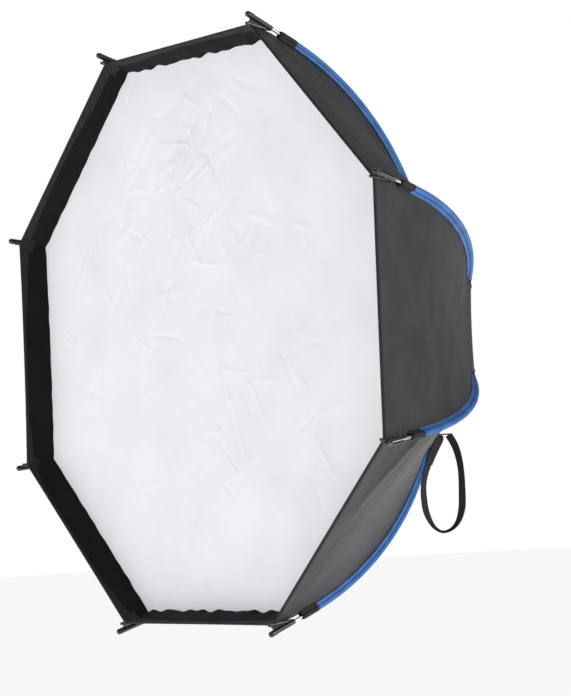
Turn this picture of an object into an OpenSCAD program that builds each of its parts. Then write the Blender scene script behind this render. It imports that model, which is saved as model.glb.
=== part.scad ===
// Octagonal studio softbox: eight sprung ribs on a folding speed ring, with a fabric dome,
// a recessed front diffuser and an inner baffle.
// Millimetres. The origin is the centre of the mounting face at the back of the speed ring.
// The front opening faces -Y, the lamp stands behind at +Y, and +Z is up.

/* [Dome] */
// Front rim, from one corner to the opposite corner
rim_across = 890; // [870:5:900]
// Depth from the rim plane back to the mounting face
dome_depth = 460; // [455:1:465]
// Bend radius of the sprung ribs
rib_bend_r = 650; // [640:5:680]
// Depth of the front recess, from the rim back to the diffuser
lip_depth = 38; // [34:1:42]
// How much the lip narrows towards the diffuser, at a corner
lip_lean = 15; // [12:1:18]
// Thickness of the outer cloth panels
canopy_t = 1.2; // [0.8:0.1:1.4]
// Thickness of the reflective lining
lining_t = 0.8; // [0.5:0.1:1.0]
// Gap left on each side of a rib for its sleeve
seam_gap = 5.6; // [5.4:0.1:6]

/* [Ribs] */
// Diameter of the steel rods
rod_d = 4.5; // [4:0.1:5]
// Outer diameter of the cloth sleeves
sleeve_d = 10; // [9:0.2:10.4]
// Outer diameter of the boots at both ends of a sleeve
boot_d = 10.8; // [10:0.2:11]
// Length of rod ahead of the front boot, most of it in the tip clip
bare_rod = 65; // [58:1:68]
// Length of a front boot
boot_len = 34; // [26:1:38]
// Distance from the axis at which a sleeve ends
sleeve_end_r = 192; // [185:1:210]
// Distance from the axis to the hinge pins
hinge_r = 88.5; // [88.2:0.1:89]
// Diameter of the hinge pins
pin_d = 5; // [4:0.1:5.2]

/* [Speed ring] */
// Radius of the opening that the lamp shines through
bore_r = 62; // [58:0.5:62.5]
// Radius of the journal that the dome turns on
journal_r = 69.94; // [69.9:0.01:69.97]
// Depth of the turning ring
ring_len = 17; // [16.5:0.1:17]
// Length of the bayonet spigot behind the mounting face
spigot_len = 9; // [8:0.5:12]
// Distance from the axis to the locking stud
lock_r = 84; // [83.6:0.1:84.4]

/* [Baffle] */
// Inner baffle, from one corner to the opposite corner
baffle_across = 570; // [520:10:580]
// Distance of the baffle in front of the mounting face
baffle_at = 240; // [220:5:250]

/* [Tie strap] */
// Width of the webbing
strap_w = 12; // [10:0.5:12]
// Thickness of the webbing
strap_t = 2; // [1.5:0.1:2.2]

/* [Hidden] */
$fn = 64;
eps = 0.02;
half = 22.5;
sides = 8;
rod_r = rod_d / 2;
pin_r = pin_d / 2;
running = 0.05;
rim_y = -dome_depth;
rim_r = rim_across / 2;

// The rib's arc would run from the rim to the root, and its centre follows from those two points.
// Ahead of its tangent from the tip the rod is straight.
arc_front = [rim_r + 5, rim_y];
root = [74, -6];
chord = root - arc_front;
chord_len = norm(chord);
out_dir = [-chord[1], chord[0]] / -chord_len;
arc_c = (arc_front + root) / 2 - out_dir * sqrt(rib_bend_r * rib_bend_r - chord_len * chord_len / 4);
tip = [rim_r + 13, rim_y - 7];
tip_dist = norm(tip - arc_c);
straight_len = sqrt(tip_dist * tip_dist - rib_bend_r * rib_bend_r);
straight_a = atan2(tip[1] - arc_c[1], tip[0] - arc_c[0]) + acos(rib_bend_r / tip_dist);

function rib_angle(k) = 67.5 + 45 * (k - 1);
function at_y(y) = asin((y - arc_c[1]) / rib_bend_r);
function at_r(r) = acos((r - arc_c[0]) / rib_bend_r);
function smooth(t) = let (u = min(1, max(0, t))) u * u * (3 - 2 * u);

// The cloth lies just inside the rods, and crosses to their outside near the ring
cloth_in = -4.5;
cloth_out = 7;
cross_from_r = 215;
cross_to_r = 165;
cloth_front_a = at_y(rim_y);
cloth_rear_a = at_r(102);
stations = 20;
function cloth_off(a) =
    let (r = arc_c[0] + rib_bend_r * cos(a))
    cloth_in + (cloth_out - cloth_in) * smooth((cross_from_r - r) / (cross_from_r - cross_to_r));
function cloth_point(a, depth) =
    let (d = rib_bend_r + cloth_off(a) - depth)
    [(arc_c[0] + d * cos(a)) * cos(half), arc_c[1] + d * sin(a)];
function station_a(i) = cloth_front_a + (cloth_rear_a - cloth_front_a) * i / stations;
function cloth_curve(y, depth) =
    let (a0 = asin((y - arc_c[1]) / (rib_bend_r + cloth_in - depth)))
    concat(
        [cloth_point(a0, depth)],
        [for (i = [1:stations]) if (station_a(i) > a0 + 0.3) cloth_point(station_a(i), depth)]
    );
function reversed(list) = [for (i = [len(list) - 1:-1:0]) list[i]];

lining_gap = 0.4;
cloth_fold = 1.2;
hem_w = 5;
hem_out = 1;
hem_back = rim_y + 0.4;
tab_t = 1.5;
tab_len = 16;
baffle_t = 1;
strap_reach = 38;
elastic_w = 12;
lip_back = rim_y + lip_depth;
diffuser_r = rim_r - lip_lean - 1;
hinge_a = at_r(hinge_r);
hinge_y = arc_c[1] + rib_bend_r * sin(hinge_a);
boot_a = straight_a + (bare_rod + boot_len - straight_len) / rib_bend_r * 180 / PI;
sleeve_rear_a = at_r(sleeve_end_r);
rear_boot_a = at_r(sleeve_end_r - 26);
rod_front = 2;
// The rod's straight end is a hair thinner, so that it meets the bent bar at a step
straight_r = rod_r - 0.05;
rod_rear_a = at_r(hinge_r + 9);
sleeve_bore_r = rod_r + 0.65;

flange_t = 4;
flange_r = 78;
lip_step = 2;
rest_r = 72;
spigot_r = bore_r + 4;
ring_back = -flange_t - 0.8;
ring_front = ring_back - ring_len;
journal_front = ring_front - 0.2;
ring_bore_r = journal_r + 0.06;
ring_flat_r = 80;
screw_r = 1.5;
screw_len = 8;
screw_pcd_r = (bore_r + journal_r) / 2;
cap_t = 3;
cap_out_r = 76;
bracket_t = 3;
bracket_w = 34;
ear_t = 3;
ear_gap = 12.4;
eye_r = 5;
knuckle_w = 12;
bracket_screw_z = 13.3;
ring_middle = (ring_front + ring_back) / 2;
stud_r = 3;
pad_t = 1.5;
pad_front = -1.9;
collar_r = 100;
collar_t = 1.2;
collar_back = ring_back + 1.1;
collar_len = 6.7;
collar_hole_r = 79.5;

// Tie strap: a hanging loop. Each point is how far it lies along the loop's width, and how far down
strap_rib = 7;
strap_turn = 50;
strap_dir = [cos(strap_turn), sin(strap_turn), 0];
strap_side = [sin(strap_turn), -cos(strap_turn), 0];
strap_tilt = 40;
strap_drop = 8.2;
strap_tab_size = [20, 10, 1.6];
strap_a = at_y(rim_y + 138);
strap_top =
    let (r = arc_c[0] + (rib_bend_r + 5) * cos(strap_a), t = rib_angle(strap_rib))
    [r * cos(t), arc_c[1] + (rib_bend_r + 5) * sin(strap_a), r * sin(t) - strap_drop];
strap_route = [
    [-5, 0], [-8, 7], [-13, 16], [-19, 28], [-24, 40], [-28, 52], [-31, 67], [-31, 84], [-29, 100],
    [-24, 114], [-17, 124], [-7, 129], [5, 125], [14, 114], [19, 97], [20, 76], [20, 54], [18, 34],
    [13, 15], [5, 0],
];
strap_section = [
    [1, 0.5], [0.86, 1], [-0.86, 1], [-1, 0.5], [-1, -0.5], [-0.86, -1], [0.86, -1], [1, -0.5],
];
function route_point(i) = strap_top + strap_dir * strap_route[i][0] - [0, 0, strap_route[i][1]];
function unit(v) = v / norm(v);
function route_way(i) =
    let (last = len(strap_route) - 1)
    unit(route_point(min(i + 1, last)) - route_point(max(i - 1, 0)));
function strap_ring(i) =
    let (
        way = i == 0 || i == len(strap_route) - 1 ? [0, 0, i == 0 ? -1 : 1] : route_way(i),
        across = cross(way, strap_side),
        wide = cos(strap_tilt) * strap_side + sin(strap_tilt) * across,
        thick = cross(way, wide)
    )
    [for (p = strap_section) route_point(i) + wide * p[0] * strap_w / 2 + thick * p[1] * strap_t / 2];

// ---- Placing ----

// Turns a shape made along +X to a direction round the dome's axis
module at_angle(a) rotate([0, -a, 0]) children();

module each_rib() for (k = [1:sides]) at_angle(rib_angle(k)) children();

module each_screw() for (k = [0:3]) at_angle(45 + 90 * k) translate([screw_pcd_r, 0, 0]) children();

module each_bracket_screw() each_rib() for (z = [-bracket_screw_z, bracket_screw_z])
    translate([0, ring_middle, z]) children();

module at_hinge(z = 0) translate([hinge_r, hinge_y, z]) children();

module each_gore() for (k = [1:sides]) at_angle(rib_angle(k) + half) children();

// In a rib's plane, at arc angle a: +X points away from the dome, and +Y runs back along the rod
module at_arc(a) translate([arc_c[0] + rib_bend_r * cos(a), arc_c[1] + rib_bend_r * sin(a), 0])
    rotate([0, 0, a]) children();

// At a rib's tip: +X points away from the dome, and +Y runs back along the straight end of the rod
module at_tip() translate([tip[0], tip[1], 0]) rotate([0, 0, straight_a]) children();

// Extrudes an outline in X and Z from y_front back to y_back
module slab(y_front, y_back) translate([0, y_back, 0]) rotate([90, 0, 0])
    linear_extrude(height = y_back - y_front) children();

// Turns an outline of radius and Y about the dome's axis
module turned(turn = 360) rotate([-90, 0, 0]) rotate_extrude(angle = turn, $fn = 128) children();

// A cylinder along Y
module rod_y(r, y0, y1) translate([0, y0, 0]) rotate([-90, 0, 0]) cylinder(r = r, h = y1 - y0);

// A cylinder along X
module rod_x(r, x0, x1) translate([x0, 0, 0]) rotate([0, 90, 0]) cylinder(r = r, h = x1 - x0);

module octagon(r, turn = half) polygon([
    for (k = [0:sides - 1]) r * [cos(turn + 45 * k), sin(turn + 45 * k)],
]);

// A bent round bar or tube along the rib, between two arc angles
module bent_bar(a0, a1, r, bore = 0) translate([arc_c[0], arc_c[1], 0]) rotate([0, 0, a0])
    rotate_extrude(angle = a1 - a0, $fn = 128) translate([rib_bend_r, 0]) difference() {
        circle(r = r);
        if (bore > 0) circle(r = bore);
    }

// ---- Speed ring ----

module bayonet_insert() {
    lugs = 3;
    lug_turn = 34;
    lug_t = 4;
    lug_out = 4.5;
    color("silver") difference() {
        union() {
            turned() polygon([
                [bore_r, journal_front], [journal_r, journal_front], [journal_r, -flange_t],
                [flange_r, -flange_t], [flange_r, -lip_step], [rest_r, -lip_step], [rest_r, 0],
                [spigot_r, 0], [spigot_r, spigot_len], [bore_r, spigot_len],
            ]);
            for (k = [0:lugs - 1]) rotate([0, 120 * k, 0]) turned(lug_turn)
                translate([spigot_r - 0.5, spigot_len - lug_t]) square([lug_out + 0.5, lug_t]);
        }
        each_screw() rod_y(screw_r + running, journal_front - 1, journal_front + screw_len + 1);
    }
}

module retaining_ring() color("dimgray") difference() {
    cap_bore_r = bore_r + 1.5;
    turned() translate([cap_bore_r, journal_front - cap_t]) square([cap_out_r - cap_bore_r, cap_t]);
    each_screw() rod_y(screw_r + 0.1, journal_front - cap_t - 1, journal_front + 1);
}

module retaining_screws() color("silver") each_screw() {
    head_r = 2.2;
    head_t = 1.8;
    rod_y(screw_r, journal_front - cap_t - 0.5, journal_front + screw_len);
    rod_y(head_r, journal_front - cap_t - head_t, journal_front - cap_t);
}

module slip_washer() color("white") turned() translate([ring_bore_r + 0.3, -flange_t - 0.6])
    square([flange_r - ring_bore_r - 1, 0.55]);

module hub_ring() color("dimgray") difference() {
    union() {
        slab(ring_front, ring_back) octagon(ring_flat_r / cos(half), 0);
        translate([0, 0, -lock_r]) rod_y(6.5, ring_front, ring_back);
    }
    rod_y(ring_bore_r, ring_front - 1, ring_back + 1);
    translate([0, 0, -lock_r]) rod_y(stud_r + running, ring_front - 1, ring_back + 1);
    each_bracket_screw() rod_x(screw_r + 0.1, ring_flat_r - 6, ring_flat_r + 1);
}

module rib_brackets() color("dimgray") difference() {
    ear_r = 5.5;
    ear_root = ring_flat_r + bracket_t - 0.5;
    each_rib() {
        translate([ring_flat_r, ring_front + 0.3, -bracket_w / 2])
            cube([bracket_t, ring_len - 0.6, bracket_w]);
        for (z = [-ear_gap / 2 - ear_t, ear_gap / 2]) {
            translate([ear_root, hinge_y - ear_r, z]) cube([hinge_r - ear_root, 2 * ear_r, ear_t]);
            at_hinge(z) cylinder(r = ear_r, h = ear_t);
        }
    }
    each_rib() at_hinge() cylinder(r = pin_r, h = bracket_w, center = true);
    each_bracket_screw() rod_x(screw_r + 0.1, ring_flat_r - 1, ring_flat_r + bracket_t + 1);
}

module bracket_screws() color("silver") each_bracket_screw() {
    head_r = 2.6;
    head_t = 1.8;
    rod_x(screw_r, ring_flat_r - 5.5, ring_flat_r + bracket_t + 0.5);
    rod_x(head_r, ring_flat_r + bracket_t, ring_flat_r + bracket_t + head_t);
}

module hinge_pins() color("silver") each_rib() {
    ear_out = ear_gap / 2 + ear_t;
    head_t = 1;
    at_hinge() cylinder(r = pin_r, h = 2 * ear_out, center = true);
    for (z = [-ear_out - head_t, ear_out]) at_hinge(z) cylinder(r = pin_r + 1, h = head_t);
}

// ---- Rotation lock ----

module lock_stud() color("silver") translate([0, 0, -lock_r]) rod_y(stud_r, ring_front - 2, 0.2);

module lock_knob() color("black") translate([0, 0, -lock_r]) {
    grips = 6;
    grip_at = 5.6;
    grip_r = 1.9;
    knob_back = 11;
    rod_y(6, 0.2, knob_back);
    for (k = [0:grips - 1]) rotate([0, 360 / grips * k, 0]) translate([grip_at, 0, 0])
        rod_y(grip_r, 1.2, knob_back - 1);
}

module lock_pad() color("silver") translate([0, 0, -lock_r]) difference() {
    pad_r = 6;
    pad_reach = lock_r - flange_r + 3.5;
    union() {
        rod_y(pad_r, pad_front, pad_front + pad_t);
        translate([-pad_r, pad_front, 0]) cube([2 * pad_r, pad_t, pad_reach]);
    }
    rod_y(stud_r + 0.2, pad_front - 1, pad_front + pad_t + 1);
}

// ---- Ribs ----

module rod($fn = 128) color("gainsboro") {
    at_tip() rod_y(straight_r, rod_front, straight_len + 1);
    bent_bar(straight_a, rod_rear_a, rod_r);
}

module knuckle() color("black") difference() {
    socket_r = 4.6;
    socket_len = 34;
    union() {
        at_hinge() cylinder(r = eye_r, h = knuckle_w, center = true);
        at_arc(hinge_a) rod_y(socket_r, -socket_len, -3);
    }
    at_hinge() cylinder(r = pin_r + running, h = bracket_w, center = true);
    bent_bar(at_r(hinge_r + socket_len + 2), rod_rear_a + eps, rod_r + running);
}

// The clip at a rib's tip: a channel over the rod's end, and a fin whose lower bar holds the cloth
module tip_clip($fn = 128) {
    bar_r = 4.2;
    bar_len = 47;
    slot_front = 9;
    slot_w = 4.8;
    fin_t = 2.4;
    fin_front = 8;
    fin_back = 43;
    lower_r = 2.2;
    lower_front = [-11.6, 5];
    lower_back = [-3.4, 43.5];
    lower_way = lower_back - lower_front;
    color("black") at_tip() difference() {
        union() {
            sphere(r = bar_r);
            rod_y(bar_r, 0, bar_len);
            translate([0, 0, -fin_t / 2]) linear_extrude(height = fin_t) polygon([
                [0, fin_front], lower_front + [0, 2], lower_back, [0, fin_back],
            ]);
            translate([lower_front[0], lower_front[1], 0])
                rotate([0, 0, -atan2(lower_way[0], lower_way[1])]) {
                    sphere(r = lower_r);
                    rod_y(lower_r, 0, norm(lower_way));
                }
        }
        rod_y(rod_r + running, rod_front - eps, bar_len + 1);
        translate([0.5, slot_front, -slot_w / 2]) cube([bar_r, bar_len, slot_w]);
    }
}

module rib_sleeves() color("royalblue") each_rib()
    bent_bar(boot_a + eps, sleeve_rear_a, sleeve_d / 2, sleeve_bore_r);

module front_boots($fn = 128) color("black") each_rib() at_tip() difference() {
    rod_y(boot_d / 2, bare_rod, bare_rod + boot_len);
    rod_y(sleeve_bore_r, bare_rod - 1, bare_rod + boot_len + 1);
}

module rear_boots() color("black") each_rib()
    bent_bar(sleeve_rear_a + eps, rear_boot_a, boot_d / 2, sleeve_bore_r);

// ---- Cloth ----

// Everything between two ribs, in the frame of a gore whose middle points along +X
module between_ribs(gap) {
    apex = gap / sin(half);
    far = rim_across;
    slab(rim_y - 5, 5) polygon([
        [apex, 0], [far, (far - apex) * tan(half)], [far, -(far - apex) * tan(half)],
    ]);
}

// A band of cloth between two ribs, drawn as its cut through the middle of a gore
module gore_band(outline) intersection() {
    linear_extrude(height = rim_across, center = true) polygon(outline);
    between_ribs(seam_gap);
}

module canopy_gore() color([0.17, 0.165, 0.175]) gore_band(concat(
    cloth_curve(hem_back + eps, 0),
    reversed(cloth_curve(hem_back + eps, canopy_t))
));

module reflective_lining() color("silver") each_gore() gore_band(concat(
    cloth_curve(lip_back + 3, canopy_t + lining_gap),
    reversed(cloth_curve(lip_back + 3, canopy_t + lining_gap + lining_t))
));

module front_lip() color([0.06, 0.06, 0.07]) each_gore() {
    top = (rim_r - canopy_t - cloth_fold) * cos(half);
    foot = (rim_r - canopy_t - cloth_fold - lip_lean) * cos(half);
    gore_band([
        [top, hem_back + eps],
        [foot, lip_back + 1],
        [foot - cloth_fold, lip_back + 1],
        [top - cloth_fold, hem_back + eps],
    ]);
}

module rim_hem() color([0.1, 0.1, 0.12]) each_gore() {
    outer = (rim_r + hem_out) * cos(half);
    inner = (rim_r + hem_out - hem_w) * cos(half);
    gore_band([[outer, rim_y - 1], [outer, hem_back], [inner, hem_back], [inner, rim_y - 1]]);
}

module corner_tabs() color("black") each_rib()
    translate([rim_r - 13.5, rim_y + 2, -seam_gap + 0.5]) cube([tab_t, tab_len, 2 * seam_gap - 1]);

module front_diffuser() color("white") slab(lip_back - 0.9, lip_back) octagon(diffuser_r - 4);

module inner_baffle() color("white") slab(-baffle_at - baffle_t / 2, -baffle_at + baffle_t / 2)
    octagon(baffle_across / 2);

module baffle_straps() color("white") each_rib()
    translate([baffle_across / 2 + 0.1, -baffle_at - baffle_t / 2, -elastic_w / 2])
        cube([strap_reach, baffle_t, elastic_w]);

module baffle_hooks() color("black") each_rib() {
    hook_w = 14;
    hook_t = 4;
    slot_w = 7;
    translate([baffle_across / 2 + strap_reach + 0.2, -baffle_at, 0]) difference() {
        translate([0, -hook_t / 2, -hook_w / 2]) cube([hook_w, hook_t, hook_w]);
        translate([3, -hook_t / 2 - 1, -slot_w / 2]) cube([slot_w, hook_t + 2, slot_w]);
    }
}

module rear_collar() color([0.12, 0.12, 0.13]) difference() {
    slab(collar_back - collar_len, collar_back) octagon(collar_r);
    slab(collar_back - collar_len - 1, collar_back - 1) octagon(collar_r - collar_t);
    rod_y(collar_hole_r, collar_back - 2, collar_back + 1);
    translate([0, 0, -lock_r]) rod_y(stud_r + 1, collar_back - 2, collar_back + 1);
}

// ---- Tie strap ----

module tie_strap() {
    rings = len(strap_route);
    n = len(strap_section);
    color("black") polyhedron(
        points = [for (i = [0:rings - 1]) for (p = strap_ring(i)) p],
        faces = concat(
            [[for (j = [0:n - 1]) j]],
            [for (i = [0:rings - 2]) for (j = [0:n - 1])
                [i * n + j, (i + 1) * n + j, (i + 1) * n + (j + 1) % n, i * n + (j + 1) % n]],
            [[for (j = [n - 1:-1:0]) (rings - 1) * n + j]]
        ),
        convexity = 6
    );
}

module strap_tab() color("black") translate(strap_top) rotate([0, 0, strap_turn])
    translate([-strap_tab_size[0] / 2, -strap_tab_size[1] / 2, 0]) cube(strap_tab_size);

bayonet_insert();
retaining_ring();
retaining_screws();
slip_washer();
lock_knob();
lock_stud();
hub_ring();
rib_brackets();
bracket_screws();
hinge_pins();
lock_pad();
rear_collar();
for (k = [1:sides]) at_angle(rib_angle(k) + half)
    canopy_gore();
reflective_lining();
front_lip();
rim_hem();
corner_tabs();
front_diffuser();
inner_baffle();
baffle_straps();
baffle_hooks();
rib_sleeves();
front_boots();
rear_boots();
for (k = [1:sides]) at_angle(rib_angle(k)) {
    rod();
    knuckle();
    tip_clip();
}
strap_tab();
tie_strap();
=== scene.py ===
"""An octagonal studio softbox: the looks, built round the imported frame. Metres, +Z up, opening towards -Y."""

import math

import bmesh
import bpy
import numpy as np
from mathutils import Matrix, Vector


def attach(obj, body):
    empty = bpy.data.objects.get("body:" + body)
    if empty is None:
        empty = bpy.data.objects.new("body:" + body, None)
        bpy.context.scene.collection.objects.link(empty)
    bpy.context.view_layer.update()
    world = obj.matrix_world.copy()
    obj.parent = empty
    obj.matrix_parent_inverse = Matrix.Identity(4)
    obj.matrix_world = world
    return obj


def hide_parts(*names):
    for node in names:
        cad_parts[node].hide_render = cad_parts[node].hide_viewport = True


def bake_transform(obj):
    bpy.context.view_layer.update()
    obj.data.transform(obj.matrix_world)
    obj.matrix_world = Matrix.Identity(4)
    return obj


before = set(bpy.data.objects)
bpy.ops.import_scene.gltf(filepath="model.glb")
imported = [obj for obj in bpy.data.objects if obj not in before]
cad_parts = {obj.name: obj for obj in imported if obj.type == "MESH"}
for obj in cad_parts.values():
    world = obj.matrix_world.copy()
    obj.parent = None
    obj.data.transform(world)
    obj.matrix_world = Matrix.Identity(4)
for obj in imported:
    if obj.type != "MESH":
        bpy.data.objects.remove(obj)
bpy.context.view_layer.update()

# ---- Driving dimensions, as the frame has them ----
MM = 0.001
HALF = math.radians(22.5)
COS_H, SIN_H = math.cos(HALF), math.sin(HALF)
RIM_R = 445 * MM          # axis to a corner of the cloth's rim
DEPTH = 460 * MM          # rim plane to the mounting face
BEND_R = 650 * MM         # bend radius of a rib
ARC_FRONT = (450 * MM, -DEPTH)    # where a rib's arc would start and where it ends, as radius and Y
ROOT = (74 * MM, -6 * MM)
# A rib's true tip: the rod is straight ahead of its bend
TIP = (458 * MM, -DEPTH - 7 * MM)
BOOT_AT, BOOT_LEN = 65 * MM, 34 * MM
LIP_DEPTH = 38 * MM
DIFFUSER_R = 429 * MM     # axis to a corner of the diffuser
BAFFLE_R = 285 * MM
BAFFLE_Y = -240 * MM
SIDES = 8
STRAP_RIB = 7


def arc_centre():
    """The centre of the ribs' arc, from its two ends and its bend radius."""
    chord = np.array(ROOT) - np.array(ARC_FRONT)
    length = np.linalg.norm(chord)
    outwards = np.array([chord[1], -chord[0]]) / length
    return (np.array(ARC_FRONT) + np.array(ROOT)) / 2 - outwards * math.sqrt(BEND_R**2 - length**2 / 4)


ARC_R, ARC_Y = arc_centre()


def arc_at_y(y):
    return math.asin((y - ARC_Y) / BEND_R)


def arc_at_r(r):
    return math.acos((r - ARC_R) / BEND_R)


TIP_DIST = math.hypot(TIP[0] - ARC_R, TIP[1] - ARC_Y)
STRAIGHT_LEN = math.sqrt(TIP_DIST**2 - BEND_R**2)
STRAIGHT_A = math.atan2(TIP[1] - ARC_Y, TIP[0] - ARC_R) + math.acos(BEND_R / TIP_DIST)


def rib_angle(k):
    return math.radians(67.5 + 45 * (k - 1))


def smooth(t):
    t = np.clip(t, 0, 1)
    return t * t * (3 - 2 * t)


# ---- Materials ----


def rgb(code):
    """An sRGB hex colour as linear numbers."""
    parts = [int(code[i:i + 2], 16) / 255 for i in (1, 3, 5)]
    return [c / 12.92 if c <= 0.04045 else ((c + 0.055) / 1.055) ** 2.4 for c in parts] + [1.0]


def node(tree, kind, settings=None, **links):
    """Adds a shader node. A setting or link is named by its socket; a link is (node, output)."""
    made = tree.nodes.new(kind)
    for name, value in (settings or {}).items():
        if isinstance(name, int) or name in made.inputs:
            made.inputs[name].default_value = value
        else:
            setattr(made, name, value)
    for name, (source, output) in links.items():
        socket = made.inputs[int(name[1:])] if name[0] == "_" else made.inputs[name.replace("_", " ")]
        tree.links.new(source.outputs[output], socket)
    return made


def shader(name, base, rough, **settings):
    """A material with its Principled shader, its tree and its output node's shader."""
    made = bpy.data.materials.new(name)
    made.use_nodes = True
    tree = made.node_tree
    tree.nodes.clear()
    out = tree.nodes.new("ShaderNodeOutputMaterial")
    core = node(tree, "ShaderNodeBsdfPrincipled", {"Base Color": rgb(base), "Roughness": rough, **settings})
    tree.links.new(core.outputs[0], out.inputs[0])
    return made, tree, core


def ramp(tree, source, stops):
    made = node(tree, "ShaderNodeValToRGB", Fac=source)
    points = made.color_ramp.elements
    while len(points) < len(stops):
        points.new(0.5)
    for point, (place, colour) in zip(points, stops):
        point.position, point.color = place, colour
    return made


def grey(v):
    return [v, v, v, 1.0]


def woven(name, base, light, rough, thread, blotch=0.05, strength=0.25, **settings):
    """Woven cloth on the piece's own UV map, in metres: a plain weave, slubs along the yarns and
    slow blotches where the cloth was handled. thread is the spacing that shows."""
    made, tree, core = shader(name, base, rough, **settings)
    uv = node(tree, "ShaderNodeUVMap", {"uv_map": "cloth"})
    warp = node(tree, "ShaderNodeTexWave", {"Scale": 0.314 / thread, "bands_direction": "X"}, Vector=(uv, 0))
    weft = node(tree, "ShaderNodeTexWave", {"Scale": 0.314 / thread, "bands_direction": "Y"}, Vector=(uv, 0))
    weave = node(tree, "ShaderNodeMath", {"operation": "MAXIMUM"}, _0=(warp, "Fac"), _1=(weft, "Fac"))
    place = node(tree, "ShaderNodeTexCoord")
    slub = node(tree, "ShaderNodeTexNoise", {"Scale": 0.5 / thread, "Detail": 4.0}, Vector=(uv, 0))
    cloud = node(tree, "ShaderNodeTexNoise", {"Scale": 1 / blotch, "Detail": 3.0}, Vector=(place, "Object"))
    blend = {"operation": "MULTIPLY_ADD", 1: 0.35}
    mixed = node(tree, "ShaderNodeMath", blend, _0=(slub, "Fac"), _2=(cloud, "Fac"))
    colour = ramp(tree, (mixed, 0), [(0.45, rgb(base)), (0.85, rgb(light))])
    tree.links.new(colour.outputs[0], core.inputs["Base Color"])
    relief = {"operation": "MULTIPLY_ADD", 1: 0.6}
    height = node(tree, "ShaderNodeMath", relief, _0=(slub, "Fac"), _2=(weave, 0))
    bump = node(tree, "ShaderNodeBump", {"Strength": strength, "Distance": thread * 0.3}, Height=(height, 0))
    tree.links.new(bump.outputs[0], core.inputs["Normal"])
    return made


def metal(name, base, rough, grain, scratch=0.08, **settings):
    """Turned, drawn or cast metal: fine grain in roughness and height, with a few handling marks."""
    made, tree, core = shader(name, base, rough, Metallic=1.0, **settings)
    place = node(tree, "ShaderNodeTexCoord")
    fine = node(tree, "ShaderNodeTexNoise", {"Scale": 1 / grain, "Detail": 5.0}, Vector=(place, "Object"))
    handled = {"Scale": 60.0, "Detail": 8.0, "Roughness": 0.7}
    marks = node(tree, "ShaderNodeTexNoise", handled, Vector=(place, "Object"))
    blend = {"operation": "MULTIPLY_ADD", 1: 0.5}
    mixed = node(tree, "ShaderNodeMath", blend, _0=(marks, "Fac"), _2=(fine, "Fac"))
    level = ramp(tree, (mixed, 0), [(0.5, grey(max(0.05, rough - scratch))), (0.95, grey(rough + scratch))])
    tree.links.new(level.outputs[0], core.inputs["Roughness"])
    bump = node(tree, "ShaderNodeBump", {"Strength": 0.12, "Distance": grain * 0.3}, Height=(fine, "Fac"))
    tree.links.new(bump.outputs[0], core.inputs["Normal"])
    return made


def moulded(name, base, worn, rough, grain, strength=0.2, **settings):
    """Moulded plastic or baked paint: fine pebble, with paler rubbed patches."""
    made, tree, core = shader(name, base, rough, **settings)
    place = node(tree, "ShaderNodeTexCoord")
    pebble = node(tree, "ShaderNodeTexVoronoi", {"Scale": 1 / grain}, Vector=(place, "Object"))
    rub = node(tree, "ShaderNodeTexNoise", {"Scale": 45.0, "Detail": 6.0}, Vector=(place, "Object"))
    colour = ramp(tree, (rub, "Fac"), [(0.45, rgb(base)), (0.8, rgb(worn))])
    tree.links.new(colour.outputs[0], core.inputs["Base Color"])
    level = ramp(tree, (rub, "Fac"), [(0.35, grey(rough - 0.06)), (0.7, grey(rough + 0.08))])
    tree.links.new(level.outputs[0], core.inputs["Roughness"])
    relief = {"Strength": strength, "Distance": grain * 0.2}
    bump = node(tree, "ShaderNodeBump", relief, Height=(pebble, "Distance"))
    tree.links.new(bump.outputs[0], core.inputs["Normal"])
    return made


FINISHES = {
    # Coated 210-denier nylon, plain woven: charcoal, with a dull coated sheen. Yarns are 0.35 mm apart,
    # drawn at 1.6 mm so that they show.
    "canopy": woven("coated_nylon", "#272628", "#343335", 0.46, 1.6 * MM, strength=0.4,
                    **{"Specular IOR Level": 0.26}),
    # Matte black polyester for the recess: almost no light comes back
    "lip": woven("matte_black_polyester", "#0f0f12", "#151519", 0.85, 1.8 * MM, strength=0.25,
                 **{"Specular IOR Level": 0.2}),
    # Metallised nylon lining: a crinkled silver
    "lining": woven("metallised_nylon", "#b9babd", "#d6d7da", 0.34, 1.4 * MM, Metallic=0.8),
    # Undyed ripstop diffuser cloth, 0.3 mm yarns drawn at 1.5 mm: soft white with a faint violet cast
    "diffuser": woven("white_diffuser_cloth", "#f3f1f4", "#fbfafc", 0.85, 1.5 * MM, blotch=0.09,
                      strength=0.12),
    # Blue satin-faced polyester, dyed through
    "sleeve": woven("blue_sleeve_cloth", "#195596", "#2b70b4", 0.48, 1.2 * MM, blotch=0.03),
    "boot": woven("black_pack_cloth", "#0c0c0f", "#151518", 0.75, 1.2 * MM, blotch=0.02, strength=0.4),
    "webbing": woven("black_webbing", "#0d0d10", "#18181b", 0.75, 1.5 * MM, blotch=0.02, strength=0.5),
    "elastic": woven("white_elastic", "#dcdbdd", "#ecebed", 0.75, 1.5 * MM, blotch=0.02),
    "spring_steel": metal("drawn_spring_steel", "#dcdad6", 0.2, 0.6 * MM),
    "steel": metal("zinc_plated_steel", "#b8b9bb", 0.32, 0.5 * MM),
    "cast": metal("die_cast_aluminium", "#c4c5c8", 0.38, 0.8 * MM),
    "anodised": moulded("black_anodised_aluminium", "#1b1b1d", "#2b2b2e", 0.42, 0.5 * MM, 0.1,
                        **{"Coat Weight": 0.15}),
    "nylon": moulded("natural_nylon", "#dddcd6", "#e8e7e2", 0.5, 0.8 * MM),
    "plastic": moulded("black_nylon_moulding", "#141415", "#222224", 0.45, 0.7 * MM),
    "gloss": moulded("black_acetal_clip", "#0c0c0d", "#1a1a1c", 0.24, 0.9 * MM, 0.08, **{"Coat Weight": 0.4}),
}
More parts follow.
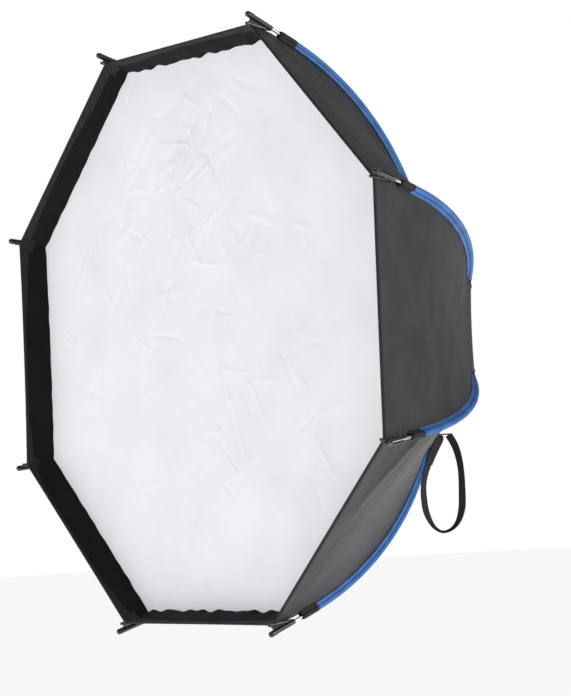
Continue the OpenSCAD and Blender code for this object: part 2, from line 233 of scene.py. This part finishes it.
NODE_FINISH = {
    "bayonet_insert": "cast", "retaining_ring": "anodised", "retaining_screws": "steel",
    "slip_washer": "nylon",
    "lock_knob": "plastic", "lock_stud": "steel", "hub_ring": "anodised", "rib_brackets": "anodised",
    "bracket_screws": "steel", "hinge_pins": "steel", "lock_pad": "steel", "baffle_hooks": "plastic",
    "rod": "spring_steel", "knuckle": "plastic", "tip_clip": "gloss", "strap_tab": "webbing",
}


def finish_frame():
    """Gives each CAD node that stays in sight its finish."""
    for name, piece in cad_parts.items():
        key = name if name in NODE_FINISH else name.rsplit("_", 1)[0]
        if key in NODE_FINISH:
            piece.data.materials.clear()
            piece.data.materials.append(FINISHES[NODE_FINISH[key]])


# ---- Making cloth ----


def sheet_mesh(name, shape, across, along, finish, uv_size, toward=None, pace=None):
    """A grid of cloth bent by shape(u, v), which takes and returns arrays. Its normals come from the
    shape too, so that two grids that share an edge shade as one cloth. Its face looks toward, and a
    closed shape's looks outwards. pace(u) sets where the rows lie."""
    bm = bmesh.new()
    bmesh.ops.create_grid(bm, x_segments=across, y_segments=along, size=0.5)
    for vert in bm.verts if pace else ():
        vert.co.x = pace(vert.co.x + 0.5) - 0.5
    chart = bm.loops.layers.uv.new("cloth")
    for face in bm.faces:
        face.smooth = True
        for loop in face.loops:
            x, y, _ = loop.vert.co
            loop[chart].uv = ((x + 0.5) * uv_size[0], (y + 0.5) * uv_size[1])
    flat = np.array([v.co for v in bm.verts])
    u, v = flat[:, 0] + 0.5, flat[:, 1] + 0.5
    points, step = shape(u, v), 1e-4
    normals = np.cross(shape(u + step, v) - shape(u - step, v), shape(u, v + step) - shape(u, v - step))
    size = np.linalg.norm(normals, axis=1)
    normals[size < 1e-14] = (0, 0, 1) if toward is None else toward
    normals /= np.linalg.norm(normals, axis=1)[:, None]
    keep = bm.verts.layers.float_vector.new("normal")
    for vert, point, normal in zip(bm.verts, points, normals):
        vert.co, vert[keep] = point, normal
    bmesh.ops.remove_doubles(bm, verts=bm.verts, dist=1e-6)
    bm.normal_update()
    if toward is None:
        bmesh.ops.recalc_face_normals(bm, faces=bm.faces)
    elif sum(f.normal.dot(Vector(toward)) * f.calc_area() for f in bm.faces) < 0:
        bmesh.ops.reverse_faces(bm, faces=bm.faces)
    normals = [v[keep].copy() if v[keep].dot(v.normal) > 0 else -v[keep] for v in bm.verts]
    bm.verts.layers.float_vector.remove(keep)
    mesh = bpy.data.meshes.new(name)
    bm.to_mesh(mesh)
    bm.free()
    mesh.normals_split_custom_set_from_vertices([tuple(n) for n in normals])
    mesh.materials.append(FINISHES[finish])
    piece = bpy.data.objects.new(name, mesh)
    bpy.context.scene.collection.objects.link(piece)
    return piece


def gore_axes(k):
    """Outwards through the middle of gore k, and sideways towards rib k + 1."""
    a = rib_angle(k) + HALF
    return np.array([math.cos(a), 0, math.sin(a)]), np.array([-math.sin(a), 0, math.cos(a)])


def in_gore(k, apothem, aside, y):
    """Points given by their distance out, sideways and along Y, in gore k."""
    out, side = gore_axes(k)
    return apothem[:, None] * out + aside[:, None] * side + y[:, None] * np.array([0, 1.0, 0])


def halves():
    """Each half gore: the gore, which way it lies, and the rib that it is sewn to."""
    for k in range(1, SIDES + 1):
        yield k, -1, k
        yield k, 1, k % SIDES + 1


def bend_to_rib(piece, k):
    """Bakes half a gore's placement into its mesh."""
    side = gore_axes(k)[1]
    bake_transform(piece)


def along_rib(piece):
    """Bakes the placement of what is sewn along a rib into its mesh."""
    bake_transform(piece)


# ---- Creases ----


class Creases:
    """Soft folds drawn on flat cloth: each is a line with a place, a direction, a length, a width and
    a height."""

    def __init__(self, lines):
        self.lines = lines

    def __call__(self, x, y):
        total = np.zeros_like(x)
        for px, py, angle, length, width, height, bend in self.lines:
            c, s = math.cos(angle), math.sin(angle)
            along, off = (x - px) * c + (y - py) * s, -(x - px) * s + (y - py) * c
            off = off - bend * along * (length - along) / length
            end = smooth(along / (0.12 * length)) * smooth((length - along) / (0.75 * length))
            spread = width * (0.6 + 0.8 * np.clip(along / length, 0, 1))
            total += height * end * np.exp(-((off / spread) ** 2))
        return total


CLOTH_IN, CLOTH_OUT = -4.5 * MM, 7 * MM
CROSS_FROM, CROSS_TO = 215 * MM, 165 * MM
CLOTH_A0 = math.asin((-DEPTH - ARC_Y) / (BEND_R + CLOTH_IN))
CLOTH_A1 = arc_at_r(102 * MM)


def canopy_profile(u, depth, front):
    """The cloth over a rib, as radius, Y and arc angle, for u from the rim (0) to the ring (1)."""
    a0 = math.asin((front - ARC_Y) / (BEND_R + CLOTH_IN - depth))
    a = a0 + (CLOTH_A1 - a0) * u
    r = ARC_R + BEND_R * np.cos(a)
    off = CLOTH_IN + (CLOTH_OUT - CLOTH_IN) * smooth((CROSS_FROM - r) / (CROSS_FROM - CROSS_TO)) - depth
    return ARC_R + (BEND_R + off) * np.cos(a), ARC_Y + (BEND_R + off) * np.sin(a), a


HOLLOWS = {6: 21 * MM, 7: 17.5 * MM}
RIM_HOLLOWS = {3: 3 * MM}


def hollow(k, u, v):
    """How far the stretched cloth of gore k lies inside the flat between its ribs."""
    rim, middle = RIM_HOLLOWS.get(k, 0.3 * MM), HOLLOWS.get(k, 20 * MM)
    deep = rim + (middle - rim) * np.sin(np.pi * np.clip(u, 0, 1)) ** 2
    return (1 - v * v) * deep * smooth((1.02 - u) / 0.3)


GORE_LEN = 600 * MM
SEAM_AT = 42 * MM         # the seam behind the rim


# The folds that stand out: from a rib's front boot down towards the rim, and across a slack side
BIG_FOLDS = {
    6: [(158 * MM, 105 * MM, math.radians(207), 210 * MM, 15 * MM, 3.6 * MM, 0.06)],
    7: [
        (-150 * MM, 60 * MM, math.radians(52), 230 * MM, 18 * MM, 1.8 * MM, 0.1),
        (-120 * MM, 200 * MM, math.radians(58), 210 * MM, 20 * MM, 1.5 * MM, -0.1),
    ],
}


def gore_creases(k):
    """Tension folds that fan out of the rim corners, and a few that cross the gore."""
    rng = np.random.default_rng(100 + k)
    lines = []
    for corner in (-1, 1):
        for i in range(5):
            angle = math.radians(16 + 15 * i + rng.uniform(-5, 5))
            angle = angle if corner < 0 else math.pi - angle
            lines.append((
                corner * 168 * MM, rng.uniform(4, 22) * MM, angle, rng.uniform(130, 300) * MM,
                rng.uniform(11, 20) * MM, rng.choice([-1, 1]) * rng.uniform(0.5, 1.2) * MM,
                rng.uniform(-0.15, 0.15),
            ))
    for i in range(5):
        lines.append((
            rng.uniform(-120, 60) * MM, rng.uniform(120, 420) * MM, rng.uniform(-0.9, 0.9),
            rng.uniform(110, 240) * MM, rng.uniform(14, 24) * MM, rng.uniform(-1.2, 1.2) * MM,
            rng.uniform(-0.2, 0.2),
        ))
    lines += BIG_FOLDS.get(k, [])
    return Creases(lines)


GORE_CREASES = {k: gore_creases(k) for k in range(1, SIDES + 1)}


def close_rows(u):
    """Puts a quarter of the rows in the first tenth, where the seam behind the rim is."""
    return 0.4 * u if u < 0.25 else 1.2 * u - 0.2


def canopy_shape(k, way, depth, front):
    def shape(u, v):
        v = v * way
        r, y, a = canopy_profile(u, depth, front)
        u = (a - CLOTH_A0) / (CLOTH_A1 - CLOTH_A0)
        aside = r * SIN_H * v
        fold = GORE_CREASES[k](aside, u * GORE_LEN) * smooth((1 - np.abs(v)) / 0.12)
        seam = 0.5 * MM * np.exp(-(((u * GORE_LEN - SEAM_AT) / (2.4 * MM)) ** 2)) if depth == 0 else 0
        push = fold + seam - hollow(k, u, v)
        return in_gore(k, r * COS_H + push * np.cos(a), aside, y + push * np.sin(a))
    return shape


def half_name(part, k, way):
    return f"{part}_{k}_{'b' if way > 0 else 'a'}"


def make_canopy():
    for k, way, rib in halves():
        piece = sheet_mesh(
            half_name("canopy", k, way), canopy_shape(k, way, 0, -DEPTH), 110, 44, "canopy",
            (GORE_LEN, way * 170 * MM), gore_axes(k)[0], close_rows,
        )
        bend_to_rib(piece, k)
        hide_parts(f"canopy_gore_{k}")


LINING_GAP = 4 * MM


def make_lining():
    for k, way, rib in halves():
        shape = canopy_shape(k, way, LINING_GAP, -DEPTH + LIP_DEPTH + 3 * MM)
        piece = sheet_mesh(
            half_name("lining", k, way), shape, 60, 24, "lining", (GORE_LEN, way * 170 * MM),
            -gore_axes(k)[0],
        )
        bend_to_rib(piece, k)
        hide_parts("reflective_lining")


# ---- Front: lip, hem, diffuser ----
LIP_TOP_R, LIP_TOP_Y = RIM_R - 1.7 * MM, -DEPTH + 0.2 * MM
FOOT_Y = -DEPTH + LIP_DEPTH


CORNER_SHIFTS = {2: 4 * MM, 4: -3 * MM}


def edge_shift(k, across):
    """The diffuser isn't sewn in quite evenly: how far its corners lie out of true, along gore k's edge."""
    here, there = CORNER_SHIFTS.get(k, 0.0), CORNER_SHIFTS.get(k % SIDES + 1, 0.0)
    return here + (there - here) * (1 + across) / 2


def ripple(k, aside):
    """The diffuser's edge is gathered inwards at its seam, most along the top and the bottom."""
    rng = np.random.default_rng(40 + k)
    size = (1.1 if k in (1, 5) else 0.4) * MM
    total = np.full_like(aside, -2 * size)
    for wave in (38 * MM, 61 * MM, 30 * MM):
        total += size * math.sqrt(wave / (61 * MM)) * np.sin(2 * np.pi * aside / wave + rng.uniform(0, 6.28))
    return total


def lip_shape(k, way, lift=0.0):
    def shape(u, v):
        r = LIP_TOP_R + (DIFFUSER_R + edge_shift(k, v * way) - LIP_TOP_R) * u
        aside = r * SIN_H * v * way
        edge = 1 - v * v
        push = -hollow(k, np.zeros_like(v), v) * (1 - 0.4 * u) + ripple(k, aside) * u**2 * smooth(edge / 0.15)
        slack = -2.2 * MM * np.sin(np.pi * np.clip(u, 0, 1)) * edge
        return in_gore(k, r * COS_H + push + slack - lift, aside, LIP_TOP_Y + (FOOT_Y - LIP_TOP_Y) * u)
    return shape


def make_lip():
    for k, way, rib in halves():
        piece = sheet_mesh(
            half_name("lip", k, way), lip_shape(k, way), 16, 48, "lip", (0.04, way * 0.17), -gore_axes(k)[0]
        )
        bend_to_rib(piece, k)
        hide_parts("front_lip")


def hem_profile():
    """The hem tape's section over the rim: down the outside, round the front and into the recess, as
    offsets from the rim's corner radius and Y."""
    outer, radius, inner_len = 3 * MM, 1.7 * MM, 12 * MM
    lean = math.atan2(LIP_TOP_R - DIFFUSER_R, LIP_DEPTH)
    points = [(RIM_R + 0.7 * MM, -DEPTH + outer)]
    middle = (RIM_R + 0.7 * MM - radius, -DEPTH + 0.6 * MM)
    for i in range(13):
        turn = math.pi / 12 * i
        points.append((middle[0] + radius * math.cos(turn), middle[1] - radius * math.sin(turn)))
    end = points[-1]
    points.append((end[0] - inner_len * math.sin(lean), end[1] + inner_len * math.cos(lean)))
    return np.array(points)


HEM = hem_profile()
HEM_AT = np.concatenate([[0], np.cumsum(np.linalg.norm(np.diff(HEM, axis=0), axis=1))])


def hem_shape(k, way):
    def shape(u, v):
        at = np.clip(u, 0, 1) * HEM_AT[-1]
        r, y = np.interp(at, HEM_AT, HEM[:, 0]), np.interp(at, HEM_AT, HEM[:, 1])
        quilt = 0.35 * MM * np.exp(-(((at - HEM_AT[-1] + 2 * MM) / (1.2 * MM)) ** 2))
        quilt = quilt + 0.35 * MM * np.exp(-(((at - HEM_AT[-1] + 9 * MM) / (1.2 * MM)) ** 2))
        push = -hollow(k, np.zeros_like(v), v)
        return in_gore(k, r * COS_H + push + quilt, r * SIN_H * v * way, y)
    return shape


def make_hem():
    for k, way, rib in halves():
        piece = sheet_mesh(
            half_name("hem", k, way), hem_shape(k, way), 40, 48, "webbing", (0.03, way * 0.17), (0, -1, 0)
        )
        bend_to_rib(piece, k)
        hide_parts("rim_hem")


def crumple():
    """Creases left in the diffuser from being folded, crowded above and below its middle."""
    rng = np.random.default_rng(7)
    lines = []
    # Where each crowd of creases lies, how far it spreads, and how many it has
    spots = [
        (-40, 270, 95, 80), (60, -230, 120, 56), (-130, 20, 190, 36), (150, 90, 170, 44), (0, 0, 280, 60),
    ]
    for cx, cy, size, count in spots:
        for _ in range(count):
            lines.append((
                rng.normal(cx, size) * MM, rng.normal(cy, size) * MM, rng.uniform(0, 2 * math.pi),
                rng.uniform(35, 130) * MM, rng.uniform(3, 8) * MM,
                rng.choice([-1, 1]) * rng.uniform(0.25, 0.85) * MM,
                rng.uniform(-0.35, 0.35),
            ))
    return Creases(lines)


CRUMPLE = crumple()


def flat_octagon(k, way, corner_r, y, bulge, folds, shift=None):
    """Half a gore's share of a flat octagonal sheet, from its centre (u 0) to its edge (u 1). shift
    says how far its corners lie out of true."""
    out, side = gore_axes(k)

    def shape(u, v):
        r = (corner_r + (shift(k, v * way) if shift else 0)) * u
        aside = r * SIN_H * v * way
        edge = 1 - v * v
        gather = ripple(k, aside) * smooth((u - 0.8) / 0.2) * smooth(edge / 0.15)
        apothem = r * COS_H + (gather - hollow(k, np.zeros_like(v), v) * 0.6) * u * u
        x, z = apothem * out[0] + aside * side[0], apothem * out[2] + aside * side[2]
        fold = folds(x, z) * smooth((1.0 - u) / 0.1)
        return in_gore(k, apothem, aside, y - fold - bulge * (1 - u * u))
    return shape


def make_diffuser():
    for k, way, rib in halves():
        shape = flat_octagon(k, way, DIFFUSER_R, FOOT_Y, 3 * MM, CRUMPLE, edge_shift)
        piece = sheet_mesh(
            half_name("diffuser", k, way), shape, 110, 44, "diffuser", (0.4, way * 0.165), (0, -1, 0)
        )
        bend_to_rib(piece, k)
        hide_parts("front_diffuser")


def make_baffle():
    for k, way, rib in halves():
        piece = sheet_mesh(
            half_name("baffle", k, way), flat_octagon(k, way, BAFFLE_R, BAFFLE_Y, 2 * MM, CRUMPLE), 40, 20,
            "diffuser", (0.26, way * 0.11), (0, -1, 0),
        )
        bend_to_rib(piece, k)
        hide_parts("inner_baffle")


# ---- What is sewn along the ribs ----


def rib_axes(k):
    a = rib_angle(k)
    return np.array([math.cos(a), 0, math.sin(a)]), np.array([-math.sin(a), 0, math.cos(a)])


def rod_at(s):
    """The rod's middle at a distance s from its tip: its radius, its Y, the angle of its outer side,
    and how far ahead of the bend it is."""
    a = STRAIGHT_A + np.maximum(s - STRAIGHT_LEN, 0) / BEND_R
    ahead = np.maximum(STRAIGHT_LEN - s, 0)
    r = ARC_R + BEND_R * np.cos(a) + ahead * np.sin(a)
    y = ARC_Y + BEND_R * np.sin(a) - ahead * np.cos(a)
    return r, y, a, ahead


def rod_length(a):
    """The distance from the tip to arc angle a."""
    return STRAIGHT_LEN + (a - STRAIGHT_A) * BEND_R


def over_rib(k, s0, s1, section):
    """A strip along rib k, from s0 to s1 from its tip. section(k, u, v, s) gives its height over the
    rod's middle and its place aside."""
    out, side = rib_axes(k)

    def shape(u, v):
        s = s0 + (s1 - s0) * u
        r, y, a, _ = rod_at(s)
        lift, aside = section(k, u, v, s)
        r, y = r + lift * np.cos(a), y + lift * np.sin(a)
        return r[:, None] * out + aside[:, None] * side + y[:, None] * np.array([0, 1.0, 0])
    return shape


def cloth_height(k, s, aside):
    """Height of the outer cloth over rib k's rod, near the rib: it falls away as the gores do."""
    r, _, a, ahead = rod_at(s)
    off = CLOTH_IN + (CLOTH_OUT - CLOTH_IN) * smooth((CROSS_FROM - r) / (CROSS_FROM - CROSS_TO))
    u, v = (a - ahead / BEND_R - CLOTH_A0) / (CLOTH_A1 - CLOTH_A0), 1 - np.abs(aside) / (COS_H * r * SIN_H)
    sag = np.where(aside > 0, hollow(k, u, v), hollow((k - 2) % SIDES + 1, u, v))
    return off - ahead**2 / (2 * BEND_R) - math.tan(HALF) * np.abs(aside) * np.cos(a) - sag * COS_H


def tunnel(radius, flange, lift=0.0, pinch=None, wave=0.0, seed=0):
    """The section of a sewn tunnel: a flange, the tunnel over the rod, and the other flange."""
    def section(k, u, v, s):
        place = np.clip(v, 0, 1) * 2 - 1
        squeeze = np.ones_like(u) if pinch is None else pinch(u)
        round_r = radius * squeeze
        turn = np.clip(place / 0.62, -1, 1) * math.radians(128)
        aside = round_r * np.sin(turn)
        height = lift + round_r * np.cos(turn)
        past = np.clip((np.abs(place) - 0.62) / 0.38, 0, 1)
        aside = aside + np.sign(place) * past * (flange + round_r * 0.21) * squeeze
        rest = cloth_height(k, s, aside) + 0.7 * MM
        height = height + (np.maximum(rest, -9 * MM) - height) * smooth(past * 2.2)
        pucker = wave * np.sin(u * 90 + seed) * np.sin(u * 41 + 2 * seed) * (0.3 + past)
        return height + pucker, aside
    return section


SLEEVE_FRONT, SLEEVE_REAR = BOOT_AT + BOOT_LEN, rod_length(arc_at_r(192 * MM))
RING_AT = rod_length(arc_at_r(104 * MM))


def half_shut(u):
    """A front boot is drawn in at its front end."""
    return 0.74 + 0.26 * smooth(u / 0.12)


def flattens(u):
    """A rear boot opens out into a flat tape on its way to the ring."""
    return 1 - 0.75 * smooth((u - 0.25) / 0.3)


def make_rib_cloth():
    """The sleeves, and the boots at both of their ends."""
    overlap = 2 * MM
    parts = [
        ("sleeve", "sleeve", "rib_sleeves", "blue_sleeve", SLEEVE_FRONT - overlap, SLEEVE_REAR + overlap, 220,
         tunnel(4.3 * MM, 1.4 * MM, 0.1 * MM, wave=0.14 * MM)),
        ("front_boot", "boot", "front_boots", "boot_webbing", BOOT_AT, SLEEVE_FRONT, 40,
         tunnel(4.7 * MM, 1.2 * MM, 0.2 * MM, half_shut, 0.15 * MM, 1)),
        ("rear_boot", "boot", "rear_boots", "boot_webbing", SLEEVE_REAR, RING_AT, 90,
         tunnel(4.7 * MM, 1.2 * MM, 0.2 * MM, flattens, 0.15 * MM, 2)),
    ]
    for k in range(1, SIDES + 1):
        for name, finish, cad, slot, s0, s1, rows, section in parts:
            piece = sheet_mesh(
                f"{name}_{k}", over_rib(k, s0, s1, section), rows, 32, finish, (s1 - s0, 0.012),
                rib_axes(k)[0],
            )
            along_rib(piece)
            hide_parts(cad)


# ---- Corners, baffle fittings and the collar ----


def lip_corner_r(y):
    """The recess wall's radius at a corner."""
    return LIP_TOP_R + (DIFFUSER_R - LIP_TOP_R) * (y - LIP_TOP_Y) / (FOOT_Y - LIP_TOP_Y)


def corner_tab(k):
    """A patch of webbing sewn across the inside of a corner, under the clip."""
    out, side = rib_axes(k)

    def shape(u, v):
        y, aside = -DEPTH + (3 + 17 * u) * MM, (v - 0.5) * 19 * MM
        plump = 0.9 * MM * smooth((1 - np.abs(2 * v - 1)) / 0.25) * smooth(u / 0.15) * smooth((1 - u) / 0.15)
        r = lip_corner_r(y) - math.tan(HALF) * np.sqrt(aside**2 + (1.5 * MM) ** 2) - 0.4 * MM - plump
        return r[:, None] * out + aside[:, None] * side + y[:, None] * np.array([0, 1.0, 0])
    piece = sheet_mesh(f"corner_tab_{k}", shape, 24, 24, "webbing", (0.017, 0.019), tuple(-out))
    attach(piece, f"rib_{k}")
    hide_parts("corner_tabs")


def baffle_strap(k):
    """The elastic from the baffle's corner, through the hook, to the seam along the rib."""
    out, side = rib_axes(k)

    def shape(u, v):
        r, aside = (284 + 62 * u) * MM, (v - 0.5) * 12 * MM * (1 - 0.35 * smooth((u - 0.5) / 0.15))
        y = BAFFLE_Y - 1 * MM + 2.6 * MM * np.sin(np.clip((u - 0.6) / 0.25, 0, 1) * math.pi)
        return r[:, None] * out + aside[:, None] * side + y[:, None] * np.array([0, 1.0, 0])
    piece = sheet_mesh(f"baffle_strap_{k}", shape, 60, 10, "elastic", (0.062, 0.012), (0, -1, 0))
    along_rib(piece)
    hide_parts("baffle_straps")


def baffle_hook(k):
    """A moulded loop with rounded corners."""
    out, side = rib_axes(k)
    middle, reach, bar = 330 * MM, 5.2 * MM, 1.5 * MM

    def shape(u, v):
        turn, section = u * 2 * math.pi, v * 2 * math.pi
        c, s = np.cos(turn), np.sin(turn)
        square = reach / (np.abs(c) ** 5 + np.abs(s) ** 5) ** 0.2 + bar * np.cos(section)
        r, y = middle + square * c, BAFFLE_Y - bar * np.sin(section)
        return r[:, None] * out + (square * s)[:, None] * side + y[:, None] * np.array([0, 1.0, 0])
    piece = sheet_mesh(f"baffle_hook_{k}", shape, 64, 16, "plastic", (0.04, 0.009))
    along_rib(piece)
    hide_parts("baffle_hooks")


COLLAR_HOLE_R, COLLAR_R, COLLAR_BACK, COLLAR_LEN = 79.7 * MM, 99.8 * MM, -3.9 * MM, 6.5 * MM
STUD_AT = Vector((0, 0, -84 * MM))
STUD_HOLE_R = 4.5 * MM


def make_collar():
    """The cloth collar that covers the ribs' hinges, with a hole for the locking stud."""

    def shape(u, v):
        turn = v * 2 * math.pi
        local = (turn + HALF) % (2 * HALF) - HALF
        edge = COLLAR_R * COS_H / np.cos(local)
        flat, skirt = np.clip(u / 0.7, 0, 1), np.clip((u - 0.7) / 0.3, 0, 1)
        r = COLLAR_HOLE_R + (edge - COLLAR_HOLE_R) * np.sin(flat * math.pi / 2)
        y = COLLAR_BACK - 1.2 * MM * (1 - np.cos(flat * math.pi / 2)) - (COLLAR_LEN - 1.2 * MM) * skirt
        y = y + 0.25 * MM * np.sin(turn * 24) * np.sin(flat * math.pi)
        return np.stack([r * np.cos(turn), y, r * np.sin(turn)], axis=1)
    piece = sheet_mesh("rear_collar_cloth", shape, 26, 256, "canopy", (0.035, 0.56), None)
    bm = bmesh.new()
    bm.from_mesh(piece.data)
    middles = {f: f.calc_center_median() for f in bm.faces}
    near = [f for f in bm.faces if math.hypot(middles[f].x, middles[f].z - STUD_AT.z) < STUD_HOLE_R]
    bmesh.ops.delete(bm, geom=near, context="FACES")
    bm.to_mesh(piece.data)
    bm.free()
    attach(piece, "hub")
    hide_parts("rear_collar")


# ---- Tie strap ----
STRAP_TURN = math.radians(50)
STRAP_DIR = np.array([math.cos(STRAP_TURN), math.sin(STRAP_TURN), 0])
STRAP_SIDE = np.array([math.sin(STRAP_TURN), -math.cos(STRAP_TURN), 0])
# The loop, as distances along its width and down, in millimetres
STRAP_ROUTE = [
    (-5, 0), (-8, 7), (-13, 16), (-19, 28), (-24, 40), (-28, 52), (-31, 67), (-31, 84), (-29, 100),
    (-24, 114), (-17, 124), (-7, 129), (5, 125), (14, 114), (19, 97), (20, 76), (20, 54), (18, 34),
    (13, 15), (5, 0),
]
STRAP_DROP = 8.2 * MM


def strap_top():
    a, t = arc_at_y(-DEPTH + 138 * MM), rib_angle(STRAP_RIB)
    r = ARC_R + (BEND_R + 5 * MM) * math.cos(a)
    return np.array([r * math.cos(t), ARC_Y + (BEND_R + 5 * MM) * math.sin(a), r * math.sin(t) - STRAP_DROP])


STRAP_TOP = strap_top()


def strap_line():
    """A smooth line through the loop's points, evenly spaced."""
    points = np.array([STRAP_TOP + STRAP_DIR * x * MM - np.array([0, 0, z * MM]) for x, z in STRAP_ROUTE])
    ends = np.vstack([2 * points[0] - points[1], points, 2 * points[-1] - points[-2]])
    fine = []
    for p0, p1, p2, p3 in zip(ends, ends[1:], ends[2:], ends[3:]):
        for t in np.linspace(0, 1, 24, endpoint=False):
            fine.append(0.5 * (
                2 * p1 + (p2 - p0) * t + (2 * p0 - 5 * p1 + 4 * p2 - p3) * t**2
                + (3 * p1 - p0 - 3 * p2 + p3) * t**3
            ))
    fine = np.array(fine + [points[-1]])
    at = np.concatenate([[0], np.cumsum(np.linalg.norm(np.diff(fine, axis=0), axis=1))])
    even = np.linspace(0, at[-1], 401)
    return np.stack([np.interp(even, at, fine[:, i]) for i in range(3)], axis=1), at[-1]


STRAP_LINE, STRAP_LEN = strap_line()


def ribbon(width, thickness, start, end):
    """A flat band along the strap's line, from start to end as shares of its length."""
    steps = np.linspace(0, 1, len(STRAP_LINE))
    way = np.gradient(STRAP_LINE, axis=0)
    way /= np.linalg.norm(way, axis=1)[:, None]

    def shape(u, v):
        at = start + (end - start) * np.clip(u, -0.001, 1.001)
        middle = np.stack([np.interp(at, steps, STRAP_LINE[:, i]) for i in range(3)], axis=1)
        along = np.stack([np.interp(at, steps, way[:, i]) for i in range(3)], axis=1)
        twist = np.radians(42 - 26 * np.exp(-(((at - 0.5) / 0.1) ** 2)) + 5 * np.sin(at * 21))
        across = np.cross(along, STRAP_SIDE)
        wide = np.cos(twist)[:, None] * STRAP_SIDE + np.sin(twist)[:, None] * across
        thick = np.cross(along, wide)
        turn = v * 2 * math.pi
        c, s = np.cos(turn), np.sin(turn)
        flat = np.sign(c) * np.abs(c) ** 0.35 * width / 2, np.sign(s) * np.abs(s) ** 0.6 * thickness / 2
        return middle + wide * flat[0][:, None] + thick * flat[1][:, None]
    return shape


def make_strap():
    loop, doubled = ribbon(12 * MM, 1.9 * MM, 0, 1), ribbon(14.5 * MM, 3.4 * MM, 0.012, 0.145)
    strap = sheet_mesh("tie_strap_loop", loop, 260, 40, "webbing", (STRAP_LEN, 0.026))
    patch = sheet_mesh("tie_strap_overlap", doubled, 60, 40, "webbing", (0.05, 0.03))
    tab = box_piece("tie_strap_tab", (20, 10, 1.6), 0.7)
    middle = Vector(STRAP_TOP) + Vector((0, 0, 0.8 * MM))
    tab.data.transform(Matrix.Translation(middle) @ Matrix.Rotation(STRAP_TURN, 4, "Z"))
    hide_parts("tie_strap")
    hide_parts("strap_tab")
    for piece in (strap, patch, tab):
        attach(piece, f"rib_{STRAP_RIB}")


def box_piece(name, size, radius):
    """A box with rounded edges, in millimetres."""
    bm = bmesh.new()
    bm.loops.layers.uv.new("cloth")
    bmesh.ops.create_cube(bm, size=1, calc_uvs=True)
    bmesh.ops.scale(bm, vec=Vector(size) * MM, verts=bm.verts)
    bmesh.ops.bevel(bm, geom=bm.edges[:], offset=radius * MM, segments=4, profile=0.5, affect="EDGES")
    for face in bm.faces:
        face.smooth = True
    mesh = bpy.data.meshes.new(name)
    bm.to_mesh(mesh)
    bm.free()
    mesh.materials.append(FINISHES["webbing"])
    piece = bpy.data.objects.new(name, mesh)
    bpy.context.scene.collection.objects.link(piece)
    return piece


# ---- Camera, light and floor ----
WORLD_LIGHT, FLOOR_Z = 0.25, -1.3


def make_camera():
    turn, lift, roll = math.radians(50.54), math.radians(-2.30), math.radians(-2.18)
    back = Vector((math.sin(turn) * math.cos(lift), -math.cos(turn) * math.cos(lift), math.sin(lift)))
    target, away = Vector((0.19045, -0.460, -0.12283)), 3.45904
    right = Vector((math.cos(turn), math.sin(turn), 0))
    up = back.cross(right)
    right, up = math.cos(roll) * right + math.sin(roll) * up, math.cos(roll) * up - math.sin(roll) * right
    lens = bpy.data.cameras.new("camera")
    lens.lens, lens.sensor_width, lens.shift_x, lens.shift_y = 132.06, 36, 0.01615, 0.0923
    lens.clip_end = 60
    camera = bpy.data.objects.new("camera", lens)
    turned = Matrix((right, up, back)).transposed().to_4x4()
    camera.matrix_world = Matrix.Translation(target + back * away) @ turned
    bpy.context.scene.collection.objects.link(camera)
    bpy.context.scene.camera = camera


def area_light(name, place, at, size, power, colour="#ffffff"):
    lamp = bpy.data.lights.new(name, "AREA")
    lamp.shape, lamp.size, lamp.energy, lamp.color = "DISK", size, power, rgb(colour)[:3]
    made = bpy.data.objects.new(name, lamp)
    made.location = place
    made.rotation_euler = (Vector(at) - Vector(place)).to_track_quat("-Z", "Y").to_euler()
    bpy.context.scene.collection.objects.link(made)


def make_studio():
    """A white studio: weak even light, a key behind on the right, a front and a top lamp, and a pale
    floor that lights the object from below."""
    world = bpy.data.worlds.new("studio")
    world.use_nodes = True
    tree = world.node_tree
    tree.nodes.clear()
    out = tree.nodes.new("ShaderNodeOutputWorld")
    seen = node(tree, "ShaderNodeBackground", {"Color": grey(1.0), "Strength": 1.0})
    cast = node(tree, "ShaderNodeBackground", {"Color": grey(1.0), "Strength": WORLD_LIGHT})
    rays = node(tree, "ShaderNodeLightPath")
    both = node(tree, "ShaderNodeMixShader", Fac=(rays, "Is Camera Ray"), _1=(cast, 0), _2=(seen, 0))
    tree.links.new(both.outputs[0], out.inputs[0])
    bpy.context.scene.world = world
    bpy.context.scene.view_settings.view_transform = "Standard"
    area_light("key", (3.0, 1.7, 0.7), (0.2, -0.2, 0), 1.5, 60)
    area_light("front", (-0.8, -4.0, -0.2), (0, -0.4, 0), 2.2, 40, "#fbf6ff")
    area_light("top", (-1.0, 0.4, 3.0), (0, -0.2, 0), 2.4, 18)
    floor = bpy.data.meshes.new("floor")
    bm = bmesh.new()
    bmesh.ops.create_grid(bm, x_segments=1, y_segments=1, size=40)
    bm.to_mesh(floor)
    bm.free()
    paint, _, _ = shader("white_studio_floor", "#ffffff", 0.9, **{
        "Emission Color": rgb("#ffffff"), "Emission Strength": 0.68,
    })
    floor.materials.append(paint)
    ground = bpy.data.objects.new("floor", floor)
    ground.location = (0, 0, FLOOR_Z)
    bpy.context.scene.collection.objects.link(ground)


finish_frame()
make_canopy()
make_lining()
make_lip()
make_hem()
make_diffuser()
make_baffle()
make_rib_cloth()
for corner in range(1, SIDES + 1):
    corner_tab(corner)
    baffle_strap(corner)
    baffle_hook(corner)
make_collar()
make_strap()
make_camera()
make_studio()
